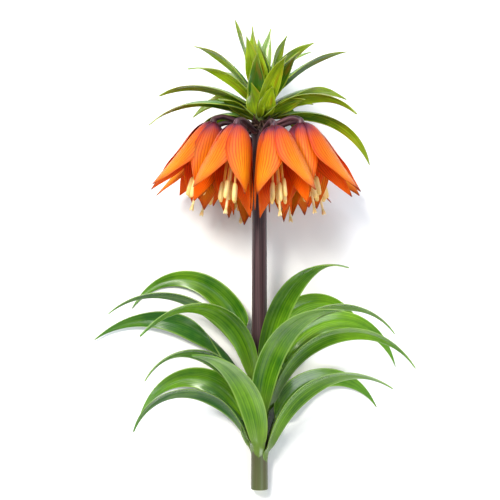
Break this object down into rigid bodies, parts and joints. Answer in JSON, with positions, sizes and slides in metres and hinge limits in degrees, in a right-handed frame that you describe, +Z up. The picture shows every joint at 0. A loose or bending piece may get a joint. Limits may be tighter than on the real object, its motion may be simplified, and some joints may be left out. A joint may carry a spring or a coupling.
{
  "type": "crown imperial fritillary",
  "caption": "Cut crown imperial fritillary lying on its side: orange bells ringed under a leafy crown, on a dark stem with strap-shaped leaves.",
  "frame": {"origin": "on the surface that the plant lies on, under the middle of its outline", "axes": "+Y along the stem towards the crown of leaves, +Z up from the surface"},
  "size_m": [0.228, 0.3352, 0.1204],
  "materials": {
    "stem": "fresh plant stem, dark purple-brown, slightly waxy",
    "crown_bract": "fresh leaf, glossy yellow-green",
    "tepal": "fresh petal, satin orange with fine veins",
    "stamen": "matt cream pollen and pale waxy style",
    "leaf": "fresh leaf, glossy mid-green with parallel veins"
  },
  "bodies": {
    "root": {"stem": "stem", "crown": "crown_bract", "bell_1": "tepal", "stamens_1": "stamen", "bell_2": "tepal", "stamens_2": "stamen", "bell_3": "tepal", "stamens_3": "stamen", "bell_4": "tepal", "stamens_4": "stamen", "bell_5": "tepal", "stamens_5": "stamen", "bell_6": "tepal", "stamens_6": "stamen", "bell_7": "tepal", "stamens_7": "stamen", "bell_8": "tepal", "stamens_8": "stamen", "leaf_upper_1": "leaf", "leaf_upper_2": "leaf", "leaf_upper_3": "leaf", "leaf_upper_4": "leaf", "leaf_upper_5": "leaf", "leaf_upper_6": "leaf", "leaf_middle_1": "leaf", "leaf_middle_2": "leaf", "leaf_middle_3": "leaf", "leaf_middle_4": "leaf", "leaf_middle_5": "leaf", "leaf_lower_1": "leaf", "leaf_lower_2": "leaf", "leaf_lower_3": "leaf", "leaf_lower_4": "leaf", "leaf_lower_5": "leaf"}
  },
  "joints": []
}
